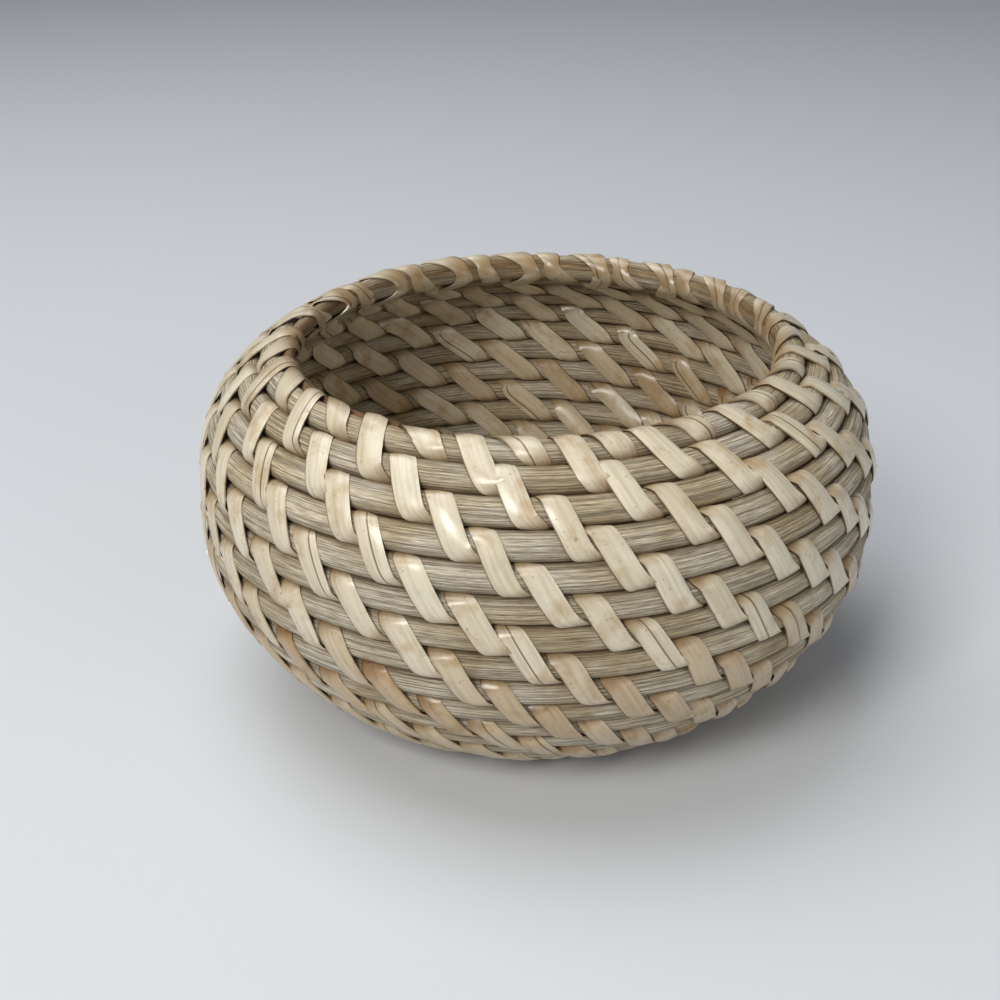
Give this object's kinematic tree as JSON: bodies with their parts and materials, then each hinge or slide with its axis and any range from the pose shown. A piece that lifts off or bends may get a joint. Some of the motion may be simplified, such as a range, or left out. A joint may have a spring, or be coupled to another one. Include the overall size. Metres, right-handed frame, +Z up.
{
  "type": "round coiled rattan basket",
  "caption": "Round bowl-shaped basket of coiled rattan core lashed with diagonal strips of peel, bulging at the belly and drawn in at an open rim.",
  "frame": {"origin": "under the centre of the base, on the plane that the basket stands on", "axes": "+Z up the basket's axis through the open rim; +Y away from the camera of the picture and +X to its right, so the coil ends on the front left of the rim"},
  "size_m": [0.1599, 0.1599, 0.088],
  "materials": {
    "rattan_core": "matt, fibrous stripped rattan core, greyish beige",
    "rattan_peel": "smooth, slightly glossy rattan peel, cream to tan"
  },
  "bodies": {
    "root": {"core_length_1": "rattan_core", "core_length_2": "rattan_core", "core_length_3": "rattan_core", "core_length_4": "rattan_core", "core_length_5": "rattan_core", "core_length_6": "rattan_core", "core_length_7": "rattan_core", "core_length_8": "rattan_core", "lashing_rim": "rattan_peel", "lashing_strip_01": "rattan_peel", "lashing_strip_02": "rattan_peel", "lashing_strip_03": "rattan_peel", "lashing_strip_04": "rattan_peel", "lashing_strip_05": "rattan_peel", "lashing_strip_06": "rattan_peel", "lashing_strip_07": "rattan_peel", "lashing_strip_08": "rattan_peel", "lashing_strip_09": "rattan_peel", "lashing_strip_10": "rattan_peel", "lashing_strip_11": "rattan_peel", "lashing_strip_12": "rattan_peel", "lashing_strip_13": "rattan_peel", "lashing_strip_14": "rattan_peel", "lashing_strip_15": "rattan_peel", "lashing_strip_16": "rattan_peel", "lashing_strip_17": "rattan_peel", "lashing_strip_18": "rattan_peel"}
  },
  "joints": []
}
